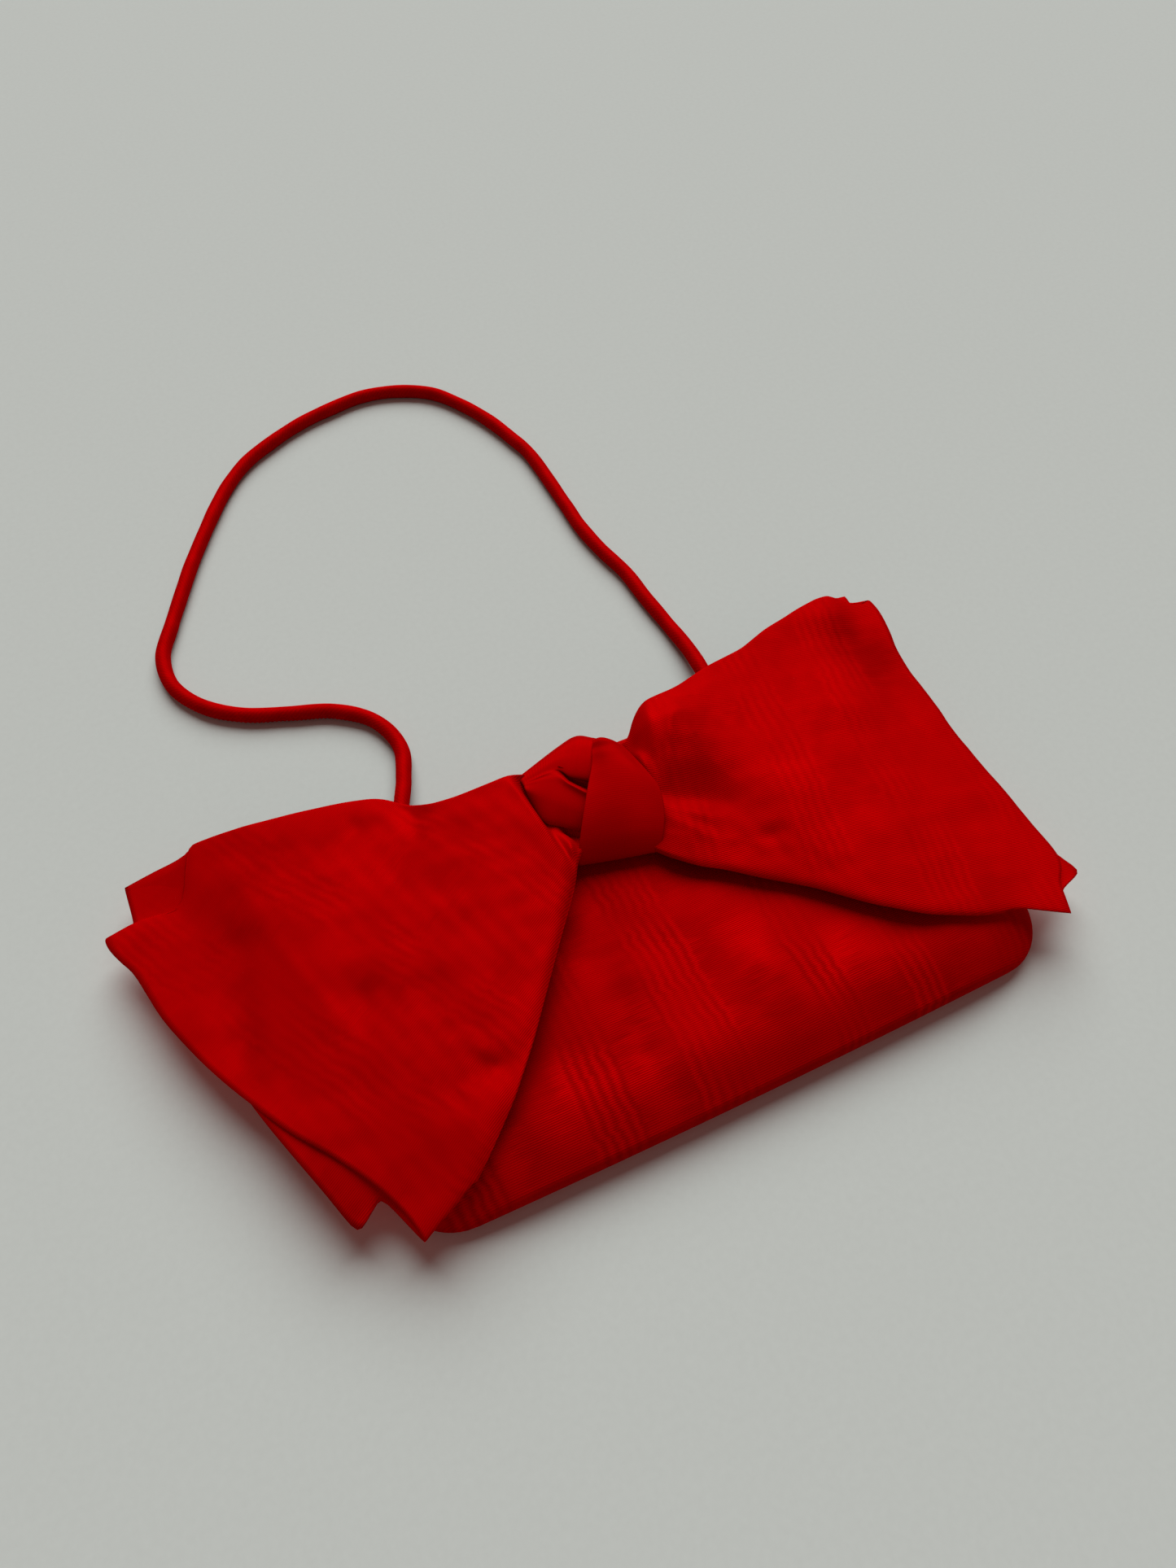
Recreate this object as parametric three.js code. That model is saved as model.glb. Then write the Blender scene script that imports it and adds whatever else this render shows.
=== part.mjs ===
// An evening shoulder bag of red moire faille, lying on its back, in millimetres.
// X runs along the bag's bottom edge, Y from the bottom edge to the mouth, Z up off the table.
// A puffed pouch is closed by a tongue that carries a large bow; a thin round strap comes out of the mouth.

import * as THREE from 'three';
import { LoftGeometry } from 'three/addons/geometries/LoftGeometry.js';

const { lerp, clamp, smoothstep } = THREE.MathUtils;

// Pouch
const bagWidth = 242;         // side seam to side seam
const bagHeight = 131;        // bottom fold to mouth
const bagThickness = 18;      // top of the puffed front above the table
const seamHeight = 6;         // side and bottom seams above the table
const cornerRadius = 17;      // bottom corners, seen from the front
const sideRun = 32;           // distance over which the front rises from a side seam
const footRun = 21;           // the same from the bottom fold
const backRun = 12;           // the same for the back, from either
const shellWall = 2;          // faille with its padding
const liningWall = 0.8;       // lining cloth

// Strap
const strapDiameter = 6.2;
const strapSpread = 132;      // between the two places where the strap leaves the mouth
const strapDepth = 14;        // length of each end held inside the mouth

// Flap and press closure
const flapRootWidth = 112;    // at the mouth
const flapTipWidth = 56;      // at its free end
const flapLength = 42;        // from the mouth down the front
const flapWall = 1.5;
const snapDiameter = 12;
const snapHeight = 2.8;       // both halves, closed

// Bow
const leftReach = 174;        // middle of the bag to the farthest tip of the left wing
const rightReach = 139;       // the same for the right wing
const bowHeight = 160;        // bottom edge of the bag to the highest wing corner
const clothWall = 1.1;        // faille backed with interlining
const foldGap = 3.2;          // thickness of the wing along its folded edges
const lipGap = 6;             // how far the two layers part at the open ends
const waistRise = 5;          // how much thicker the pinched waist is in its middle
const leftPuff = 5.4;         // how far the left wing's front swells over its folded edges
const rightPuff = 7.5;        // the same for the right wing
const gatherDepth = 0.9;      // ridges that run out from the knot

// Knot
const bandWall = 1.4;         // each strip, folded
const bandHeadWidth = 19;     // main strip where it goes over the top of the waist
const bandFootWidth = 28;     // main strip where it goes under the bottom
const wrapHeadWidth = 26;     // second strip, the same two places
const wrapFootWidth = 14;

// Clearance between pieces that touch
const seatGap = 0.3;

const halfWidth = bagWidth / 2;
const mouthGap = strapDiameter + 2 * seatGap;
const liningInset = shellWall + 2 * seatGap;
const mouthThickness = 2 * (liningInset + liningWall) + mouthGap;

// Heights of the stack under and over the waist of the bow
const flapTop = bagThickness + snapHeight + 3 * seatGap + flapWall;
const bandLow = flapTop + seatGap;
const wrapLow = bandLow + bandWall + seatGap;
const waistLow = wrapLow + bandWall + seatGap;
const waistHigh = waistLow + foldGap + waistRise;

const faille = (color) => new THREE.MeshStandardMaterial({ color, roughness: 0.62, metalness: 0 });
const bag = new THREE.Group();

function add(name, geometry, material) {
  const mesh = new THREE.Mesh(geometry, material);
  mesh.name = name;
  bag.add(mesh);
}

// Pouch: two panels puffed like a pillow, closed at the sides and bottom, open at the mouth
const round = (s) => Math.sqrt(1 - (1 - clamp(s, 0, 1)) ** 2);

function halfWidthAt(y, inset) {
  const radius = cornerRadius - inset;
  const rise = clamp(y - inset, 0, radius);
  return halfWidth - inset - radius + Math.sqrt(radius ** 2 - (radius - rise) ** 2);
}

function frontHeight(x, y, inset = 0) {
  const sides = round((halfWidthAt(y, inset) - Math.abs(x)) / sideRun);
  const bottom = round((y - inset) / footRun);
  const top = lerp(bagThickness, mouthThickness, smoothstep(y, bagHeight * 0.85, bagHeight)) - inset;
  return seamHeight + (top - seamHeight) * sides * bottom;
}

function backHeight(x, y, inset = 0) {
  const sides = round((halfWidthAt(y, inset) - Math.abs(x)) / backRun);
  const bottom = round((y - inset) / backRun);
  return seamHeight - (seamHeight - inset) * sides * bottom;
}

function pouchRing(y, inset) {
  const points = 40;
  const ring = [];
  for (let i = 0; i < points; i++) {
    const angle = (2 * Math.PI * i) / points;
    const x = -halfWidthAt(y, inset) * Math.cos(angle);
    const z = i <= points / 2 ? frontHeight(x, y, inset) : backHeight(x, y, inset);
    ring.push(new THREE.Vector3(x, y, z));
  }
  return ring;
}

function openPouch(outerInset, wall, mouth) {
  const stations = [0, 0.015, 0.05, 0.1, 0.17, 0.26, 0.4, 0.55, 0.7, 0.85, 1];
  const rings = (inset) => stations.map((s) => pouchRing(lerp(inset, mouth, s), inset));
  return new LoftGeometry([...rings(outerInset), ...rings(outerInset + wall).reverse()]);
}

add('pouch_shell', openPouch(0, shellWall, bagHeight), faille(0xb4000a));
const lining = new THREE.MeshStandardMaterial({ color: 0x8c0610, roughness: 0.5, metalness: 0 });
add('pouch_lining', openPouch(liningInset, liningWall, bagHeight - shellWall), lining);

// Flap: a tongue sewn to the back edge of the mouth, folded over it and down the front
function flapGeometry() {
  const tipY = bagHeight - flapLength;
  const foldReach = mouthThickness * 0.62;
  const sections = [];
  for (let i = 0; i <= 12; i++) {
    const across = i / 6 - 1;
    const under = [
      [bagHeight + seatGap, flapWall],
      [bagHeight + foldReach * 0.5, flapWall * 1.15],
      [bagHeight + foldReach, mouthThickness * 0.55],
      [bagHeight + foldReach * 0.6, mouthThickness * 0.95],
    ];
    for (let j = 0; j <= 8; j++) {
      const y = lerp(bagHeight - 2, tipY, j / 8);
      const overSnap = (snapHeight + 3 * seatGap) * smoothstep(-y, -bagHeight, -(bagHeight + tipY) / 2);
      const x = (across * flapTipWidth) / 2;
      under.push([y, frontHeight(x, y) + Math.max(overSnap, seatGap)]);
    }
    const path = new THREE.CatmullRomCurve3(under.map(([y, z]) => new THREE.Vector3(0, y, z)));
    const inner = [];
    const outer = [];
    for (let j = 0; j <= 22; j++) {
      const point = path.getPointAt(j / 22);
      const along = path.getTangentAt(j / 22);
      const down = smoothstep(-point.y, -bagHeight, -tipY);
      const corner = clamp((tipY + 16 - point.y) / 16, 0, 1);
      const half = lerp(flapRootWidth, flapTipWidth, down) / 2 - 16 * (1 - Math.sqrt(1 - corner ** 2)) * 0.8;
      point.x = across * half;
      inner.push(point);
      outer.push(new THREE.Vector3(point.x, point.y + along.z * flapWall, point.z - along.y * flapWall));
    }
    sections.push([...outer, ...inner.reverse()]);
  }
  return new LoftGeometry(sections, { capStart: true, capEnd: true });
}

add('flap', flapGeometry(), faille(0xad000a));

// Press closure, halfway down the free part of the flap
const snapY = bagHeight - flapLength + snapDiameter * 0.8;
const metal = () => new THREE.MeshStandardMaterial({ color: 0xc9b27a, roughness: 0.3, metalness: 1 });

function turned(profile, z) {
  const points = profile.map(([radius, height]) => new THREE.Vector2(radius, height));
  const geometry = new THREE.LatheGeometry([...points, points[0].clone()], 24);
  geometry.rotateX(Math.PI / 2);
  geometry.translate(0, snapY, z);
  return geometry;
}

const snapRadius = snapDiameter / 2;
const snapBase = frontHeight(0, snapY - snapRadius) + seatGap;
const halfSnap = snapHeight / 2;
const pegRadius = snapRadius * 0.35;
add(
  'snap_socket',
  turned([
    [pegRadius + seatGap, 0],
    [snapRadius, 0],
    [snapRadius, halfSnap * 0.55],
    [snapRadius * 0.72, halfSnap],
    [pegRadius + seatGap, halfSnap],
  ], snapBase),
  metal(),
);
add(
  'snap_stud',
  turned([
    [0, -halfSnap * 0.6],
    [pegRadius, -halfSnap * 0.6],
    [pegRadius, 0],
    [snapRadius * 0.9, 0],
    [snapRadius * 0.9, halfSnap * 0.5],
    [snapRadius * 0.6, halfSnap * 0.9],
    [0, halfSnap * 0.9],
  ], snapBase + halfSnap + seatGap),
  metal(),
);

// Bow: one tube of cloth. Each wing has a top and a bottom folded edge, given from waist to tip as
// [share of the wing's reach, share of the bow's height, share of the waist's rise over the pouch].
// At the open end the two layers slip past each other, so every corner has an upper lip, a lower lip
// and a tuck between them.
const guide = (reach, points) => new THREE.CatmullRomCurve3(
  points.map(([along, up, rise]) => new THREE.Vector3(
    along * reach,
    up * bowHeight,
    lerp(bagThickness, waistHigh, rise),
  )),
);
const shift = (x, y) => new THREE.Vector3(x, y, 0);

const leftWing = {
  outward: -1,
  top: guide(-leftReach, [
    [-0.03, 0.77, 0.7], [0.125, 0.78, 0.8], [0.21, 0.785, 0.98], [0.31, 0.8, 0.77], [0.4, 0.87, 0.5],
    [0.52, 0.927, 0.35], [0.65, 0.95, 0.3], [0.775, 0.98, 0.14], [0.94, 0.96, 0.09],
  ]),
  bottom: guide(-leftReach, [
    [0.05, 0.54, 0.6], [0.125, 0.56, 0.6], [0.175, 0.47, 0.6], [0.24, 0.365, 0.43], [0.31, 0.265, 0.3],
    [0.387, 0.165, 0.21], [0.468, 0.086, 0.15], [0.553, 0.013, 0.05], [0.64, -0.02, -0.15],
  ]),
  topLips: { upper: shift(-10, -22), lower: shift(0, 0), tuck: shift(3, -22) },
  bottomLips: { upper: shift(0, 0), lower: shift(-17, 13), tuck: shift(-5, 14) },
  bulge: 10,
  puff: leftPuff,
  taper: 0.4,
  pleat: 0,
};
const rightWing = {
  outward: 1,
  top: guide(rightReach, [
    [0.04, 0.77, 0.7], [0.13, 0.78, 0.85], [0.24, 0.85, 0.91], [0.365, 0.878, 0.76], [0.503, 0.91, 0.63],
    [0.624, 0.943, 0.53], [0.745, 0.976, 0.43], [0.864, 0.998, 0.33], [0.955, 1, 0.23],
  ]),
  bottom: guide(rightReach, [
    [-0.06, 0.54, 0.4], [0.08, 0.52, 0.38], [0.165, 0.42, 0.32], [0.28, 0.33, 0.22], [0.4, 0.24, 0.16],
    [0.526, 0.159, 0.14], [0.652, 0.1, 0.12], [0.77, 0.065, 0.1], [0.903, 0.02, 0.03],
  ]),
  topLips: { upper: shift(9, -7), lower: shift(0, 0), tuck: shift(0, -9) },
  bottomLips: { upper: shift(0, 0), lower: shift(13, 13), tuck: shift(4, 9) },
  bulge: 3,
  puff: rightPuff,
  taper: 0.55,
  pleat: 5,
};

// Heights of the two layers, w running from the bottom fold to the top fold: at the waist they close
// to a rounded bundle, beside it the wing puffs up and is gathered, and at the tip it lies flat
function layerHeights(wing, t, w, end) {
  const open = smoothstep(t, 0.15, 0.24);
  const arch = Math.sin(Math.PI * w);
  const swell = arch ** 0.7;
  const bundleLow = waistLow + (waistRise / 2) * (1 - swell);
  const bundleHigh = bundleLow + foldGap + waistRise * swell;
  const edge = lerp(wing.bottom.getPoint(t).z, wing.top.getPoint(t).z, w);
  const puff = wing.puff * Math.min(1, (1 - t) / wing.taper) * swell;
  const gathered = (1 - smoothstep(t, 0.28, 0.62)) * arch;
  const ridges = gatherDepth * Math.cos(6 * Math.PI * w);
  const pleat = wing.pleat * Math.exp(-(((w - 0.7) / 0.11) ** 2));
  const parted = (lipGap - foldGap) * end * arch;
  return {
    lower: lerp(bundleLow, edge - foldGap / 2 - parted, open),
    upper: lerp(bundleHigh, edge + foldGap / 2 + puff + gathered * (ridges - pleat), open),
  };
}

function bowRing(wing, t, inset) {
  const across = 12;
  const end = smoothstep(t, 0.7, 1);
  const top = wing.top.getPoint(t);
  const bottom = wing.bottom.getPoint(t);
  const inward = top.clone().sub(bottom).setZ(0).normalize();
  const fold = (base, lips, sign) => {
    const tuck = base.clone().addScaledVector(lips.tuck, end);
    tuck.addScaledVector(inward, sign * (0.8 * (1 - end) - inset * 1.8));
    const lip = (part) => (inset ? tuck.clone() : base.clone().addScaledVector(lips[part], end));
    return { tuck, upper: lip('upper'), lower: lip('lower') };
  };
  const head = fold(top, wing.topLips, 1);
  const foot = fold(bottom, wing.bottomLips, -1);
  const bulge = (w) => wing.outward * wing.bulge * end * Math.sin(Math.PI * w);
  const layer = (from, to, height) => {
    const points = [];
    for (let i = 0; i <= across; i++) {
      const w = i / across;
      const point = from.clone().lerp(to, w);
      point.x += bulge(w);
      point.z = height(w);
      points.push(point);
    }
    return points;
  };
  const tuckAt = (point, w) => {
    const tuck = point.clone();
    tuck.addScaledVector(inward, inset * (w ? -0.6 : 0.6));
    const { lower, upper } = layerHeights(wing, t, w, end);
    tuck.z = (lower + upper) / 2;
    return tuck;
  };
  const upper = layer(foot.upper, head.upper, (w) => layerHeights(wing, t, w, end).upper - inset);
  const lower = layer(foot.lower, head.lower, (w) => layerHeights(wing, t, w, end).lower + inset);
  return [tuckAt(head.tuck, 1), ...upper.reverse(), tuckAt(foot.tuck, 0), ...lower];
}

function bowGeometry() {
  const stations = [0, 0.07, 0.13, 0.17, 0.21, 0.26, 0.33, 0.42, 0.54, 0.66, 0.78, 0.87, 0.94, 1];
  const half = (wing, inset) => stations.map((t) => bowRing(wing, t, inset));
  const whole = (inset) => [...half(leftWing, inset).slice(1).reverse(), ...half(rightWing, inset)];
  const outer = whole(0);
  return new LoftGeometry([...outer, ...whole(clothWall).reverse(), outer[0]]);
}

add('bow_tube', bowGeometry(), faille(0xc0000c));

// Knot: two folded strips round the waist, the second passing under the first
function knotStrip(foot, head, footWidth, headWidth, low, high) {
  const steps = 28;
  const middle = foot.clone().add(head).multiplyScalar(0.5);
  const along = head.clone().sub(foot);
  const reach = along.length() / 2;
  along.normalize();
  const side = new THREE.Vector3(along.y, -along.x, 0);
  const soft = (value) => Math.sign(value) * Math.abs(value) ** 0.62;
  const profile = [[1, 0], [0.97, 0.75], [0.6, 1], [0, 1.1], [-0.6, 1], [-0.97, 0.75], [-1, 0], [0, 0]];
  const sections = [];
  for (let i = 0; i < steps; i++) {
    const angle = (2 * Math.PI * i) / steps;
    const run = soft(Math.cos(angle));
    const climb = soft(Math.sin(angle));
    const halfStrip = lerp(footWidth, headWidth, (run + 1) / 2) / 2;
    sections.push(profile.map(([across, layer]) => {
      const grow = layer * bandWall;
      const point = middle.clone().addScaledVector(along, run * (reach + grow));
      point.addScaledVector(side, across * halfStrip);
      point.z = (low + high) / 2 + climb * ((high - low) / 2 + grow);
      return point;
    }));
  }
  return new LoftGeometry([...sections, sections[0]]);
}

const waistHead = leftWing.top.getPoint(0).setZ(0);
const waistFoot = leftWing.bottom.getPoint(0).setZ(0);
const wrapHigh = waistHigh + seatGap;
const wrapStrip = knotStrip(
  waistFoot.clone().add(shift(6, -4)),
  waistHead.clone().add(shift(-15, 7)),
  wrapFootWidth,
  wrapHeadWidth,
  wrapLow + bandWall,
  wrapHigh,
);
add('knot_under_wrap', wrapStrip, faille(0xb4000a));
const mainStrip = knotStrip(
  waistFoot.clone().add(shift(-1, -6)),
  waistHead.clone().add(shift(4, 8)),
  bandFootWidth,
  bandHeadWidth,
  bandLow + bandWall,
  wrapHigh + bandWall * 1.1 + seatGap,
);
add('knot_band', mainStrip, faille(0xb8000b));

// Strap: rises out of the mouth on both sides of the flap and lies on the table in one open loop
function strapGeometry() {
  const table = strapDiameter / 2;
  const inside = mouthThickness / 2;
  const left = -strapSpread / 2;
  const right = strapSpread / 2;
  const lift = (inside + table) / 2;
  const route = [
    [left, bagHeight - strapDepth, inside],
    [left, bagHeight, inside],
    [left, bagHeight + 14.5, inside],
    [left + 6.5, bagHeight + 31, lift],
    [left + 11, bagHeight + 48, table],
    [left + 6, bagHeight + 64.5, table],
    [left - 7, bagHeight + 76, table],
    [left - 23.5, bagHeight + 82.5, table],
    [left - 40, bagHeight + 89.5, table],
    [left - 53.5, bagHeight + 100.5, table],
    [left - 62, bagHeight + 116, table],
    [left - 62, bagHeight + 133.5, table],
    [left - 54.5, bagHeight + 149.5, table],
    [left - 46.5, bagHeight + 165, table],
    [left - 38, bagHeight + 181, table],
    [left - 29, bagHeight + 196, table],
    [left - 19.5, bagHeight + 211, table],
    [left - 9, bagHeight + 225.5, table],
    [left + 3.5, bagHeight + 238, table],
    [left + 18.5, bagHeight + 247, table],
    [left + 35, bagHeight + 254.5, table],
    [left + 52, bagHeight + 259, table],
    [right - 62.5, bagHeight + 261.5, table],
    [right - 45.5, bagHeight + 258, table],
    [right - 30.5, bagHeight + 249, table],
    [right - 20.5, bagHeight + 234.5, table],
    [right - 13, bagHeight + 218, table],
    [right - 8, bagHeight + 201, table],
    [right - 4.5, bagHeight + 183.5, table],
    [right - 4, bagHeight + 148, table],
    [right - 4, bagHeight + 130.5, table],
    [right - 2, bagHeight + 113, table],
    [right + 1.5, bagHeight + 95.5, table],
    [right + 2.5, bagHeight + 78, table],
    [right + 4, bagHeight + 60.5, table],
    [right + 4.5, bagHeight + 42.5, lift],
    [right + 3, bagHeight + 25.5, inside],
    [right + 1, bagHeight + 10, inside],
    [right, bagHeight, inside],
    [right, bagHeight - strapDepth, inside],
  ];
  const curve = new THREE.CatmullRomCurve3(route.map((point) => new THREE.Vector3(...point)));
  const steps = 76;
  const sections = [];
  for (let i = 0; i <= steps; i++) {
    const centre = curve.getPointAt(i / steps);
    centre.z = Math.max(centre.z, table);
    const forward = curve.getTangentAt(i / steps);
    const sideways = new THREE.Vector3(-forward.y, forward.x, 0).normalize();
    const upward = forward.clone().cross(sideways);
    const ring = [];
    for (let j = 0; j < 8; j++) {
      const angle = (2 * Math.PI * j) / 8;
      const point = centre.clone().addScaledVector(sideways, Math.cos(angle) * table);
      ring.push(point.addScaledVector(upward, Math.sin(angle) * table));
    }
    sections.push(ring);
  }
  return new LoftGeometry(sections, { capStart: true, capEnd: true });
}

add('strap_cord', strapGeometry(), faille(0xa80009));

// Place the bag with the middle of its footprint, strap apart, over the origin
const box = new THREE.Box3();
for (const mesh of bag.children) {
  if (mesh.name !== 'strap_cord') box.union(new THREE.Box3().setFromObject(mesh));
}
const middle = box.getCenter(new THREE.Vector3());
bag.position.set(-middle.x, -middle.y, -box.min.z);

export default bag;
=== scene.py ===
import math

import bmesh
import bpy
import numpy as np
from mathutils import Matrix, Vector


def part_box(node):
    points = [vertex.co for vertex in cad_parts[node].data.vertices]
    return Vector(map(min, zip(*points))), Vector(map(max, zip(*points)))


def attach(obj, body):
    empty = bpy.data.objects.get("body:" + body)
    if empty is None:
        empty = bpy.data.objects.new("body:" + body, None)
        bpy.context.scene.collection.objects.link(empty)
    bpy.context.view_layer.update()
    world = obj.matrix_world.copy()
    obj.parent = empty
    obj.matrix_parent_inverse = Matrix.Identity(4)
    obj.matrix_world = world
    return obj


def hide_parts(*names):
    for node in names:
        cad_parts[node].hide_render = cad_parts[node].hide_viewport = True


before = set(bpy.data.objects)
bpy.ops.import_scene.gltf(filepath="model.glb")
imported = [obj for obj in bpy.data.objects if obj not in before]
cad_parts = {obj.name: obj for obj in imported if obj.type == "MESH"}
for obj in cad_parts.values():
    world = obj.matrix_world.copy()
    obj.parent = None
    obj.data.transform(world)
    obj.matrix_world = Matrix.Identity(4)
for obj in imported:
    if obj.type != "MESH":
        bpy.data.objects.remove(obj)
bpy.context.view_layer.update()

# The pouch
# A flat clutch body of ribbed red silk with a watered finish. Two panels are sewn up the sides
# and turned; the bottom is one soft rolled fold, and a thin padding rounds the front.
low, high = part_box("pouch_shell")
zero = np.array(((low.x + high.x) / 2, low.y, 0.0))
pouch_height, pouch_thick = (1000 * side for side in (high - low)[1:])
pouch_left = -117.5
pouch_right = 121.0
pouch_middle = (pouch_left + pouch_right) / 2
seam_height = 5.2
corner_radius = 21.0
side_run = 29.0
foot_run = 21.0
foot_step = 0.42
foot_step_run = 0.05
foot_sag = 4.9
foot_bow = 0.33
foot_bow_reach = 120.0
back_run = 12.0
mouth_thick = 13.6
cloth_thick = 0.0008


def to_row(points):
    """Millimetres from the middle of the bag's bottom edge, on the table, as row metres."""
    return np.asarray(points, float) / 1000 + zero


def ease(value, start, end):
    """A smooth step from 0 at start to 1 at end."""
    share = np.clip((value - start) / (end - start), 0, 1)
    return share * share * (3 - 2 * share)


def quarter_round(share):
    """The height of a quarter circle over its run, both from 0 to 1."""
    return np.sqrt(1 - (1 - np.clip(share, 0, 1)) ** 2)


def ripple(x, y, spacing, seed):
    """Soft waves that cross in all directions, about 1 high."""
    turns = np.random.default_rng(seed)
    total = 0
    for _ in range(9):
        angle, phase = turns.uniform(0, 2 * math.pi, 2)
        wave = spacing * turns.uniform(0.7, 1.6)
        total = total + np.sin((x * math.cos(angle) + y * math.sin(angle)) * 2 * math.pi / wave + phase)
    return total / 3


def half_width(y, inset):
    """Half the pouch's width at a height y, less near its rounded bottom corners."""
    radius = corner_radius - inset
    rise = np.clip(y - inset, 0, radius)
    return (pouch_right - pouch_left) / 2 - inset - radius + np.sqrt(radius**2 - (radius - rise) ** 2)


def front_height(x, y, inset):
    """How high the padded front is, over a step at the bottom fold and round sides."""
    thick = pouch_thick + (mouth_thick - pouch_thick) * ease(y, 0.85 * pouch_height, pouch_height)
    side = quarter_round((half_width(y, inset) - abs(x - pouch_middle)) / side_run)
    up = np.clip((y - inset) / foot_run, 0, 1)
    foot = foot_step * quarter_round(up / foot_step_run) + (1 - foot_step) * np.sin(up * math.pi / 2)
    return seam_height + (thick - inset - seam_height) * side * foot


def back_height(x, y, inset):
    """How high the back is: flat on the table but for its rolled edges."""
    side = quarter_round((half_width(y, inset) - abs(x - pouch_middle)) / back_run)
    foot = quarter_round((y - inset) / back_run)
    return seam_height - (seam_height - inset) * side * foot


def cloth(name, across, along, lay):
    """A grid of cloth. lay turns shares across and along it into points and cloth measures."""
    bm = bmesh.new()
    bmesh.ops.create_grid(bm, x_segments=across, y_segments=along, size=0.5)
    mesh = bpy.data.meshes.new(name)
    bm.to_mesh(mesh)
    flat = np.empty(3 * len(mesh.vertices))
    mesh.vertices.foreach_get("co", flat)
    shares = flat.reshape(-1, 3)[:, :2] + 0.5
    points, measures = lay(shares[:, 0], shares[:, 1])
    mesh.vertices.foreach_set("co", to_row(points).ravel())
    corners = np.empty(len(mesh.loops), int)
    mesh.loops.foreach_get("vertex_index", corners)
    weave = mesh.uv_layers.new(name="weave")
    weave.data.foreach_set("uv", (np.asarray(measures)[corners] / 1000).ravel())
    bm.clear()
    bm.from_mesh(mesh)
    bmesh.ops.remove_doubles(bm, verts=bm.verts, dist=1e-6)
    bmesh.ops.dissolve_degenerate(bm, edges=bm.edges, dist=1e-7)
    bmesh.ops.recalc_face_normals(bm, faces=bm.faces)
    bm.to_mesh(mesh)
    bm.free()
    mesh.shade_smooth()
    return mesh


def sew_in(mesh, material, slot, *nodes, thick=0.0):
    """Puts a piece in the scene in place of its solids, with its cloth's thickness."""
    piece = bpy.data.objects.new(mesh.name, mesh)
    bpy.context.scene.collection.objects.link(piece)
    mesh.materials.append(material)
    if thick:
        wall = piece.modifiers.new("cloth thickness", "SOLIDIFY")
        wall.thickness = thick
        wall.offset = -1
    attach(piece, "root")
    if nodes:
        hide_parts(*nodes)
    return piece


def painted_light_and_moire(mesh, places):
    """Marks paler and darker places: painted shade and painted highlights where folds and gaps shade or
    catch light, and on the pouch also patches of its watered finish; each a middle, half lengths, strength.
    """
    spots = np.empty(3 * len(mesh.vertices))
    mesh.vertices.foreach_get("co", spots)
    x, y, _ = 1000 * (spots.reshape(-1, 3) - zero).T
    strength = sum(
        amount * np.exp(-(((x - at_x) / half_x) ** 2) - ((y - at_y) / half_y) ** 2)
        for at_x, at_y, half_x, half_y, amount in places
    )
    mesh.attributes.new("painted_light_and_moire", "FLOAT", "POINT").data.foreach_set("value", strength)


def add(tree, kind, inputs, **settings):
    """A shader node with its settings, and its inputs linked or set."""
    node = tree.nodes.new(kind)
    for setting, value in settings.items():
        setattr(node, setting, value)
    for socket, value in inputs.items():
        if isinstance(value, bpy.types.NodeSocket):
            tree.links.new(value, node.inputs[socket])
        else:
            node.inputs[socket].default_value = value
    return node


def new_material(name):
    """An empty material, its tree of nodes and its shader."""
    material = bpy.data.materials.new(name)
    material.use_nodes = True
    return material, material.node_tree, material.node_tree.nodes["Principled BSDF"]


def two_tone(tree, shader, share, first, second):
    """Gives a shader a colour between two, by a share from 0 to 1."""
    mix = add(tree, "ShaderNodeMix", {"Factor": share}, data_type="RGBA")
    mix.inputs["A"].default_value = (*first, 1)
    mix.inputs["B"].default_value = (*second, 1)
    tree.links.new(mix.outputs["Result"], shader.inputs["Base Color"])


def set_plain(shader, values):
    """Sets inputs of a shader that are the same all over."""
    for socket, value in values.items():
        shader.inputs[socket].default_value = value


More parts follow.
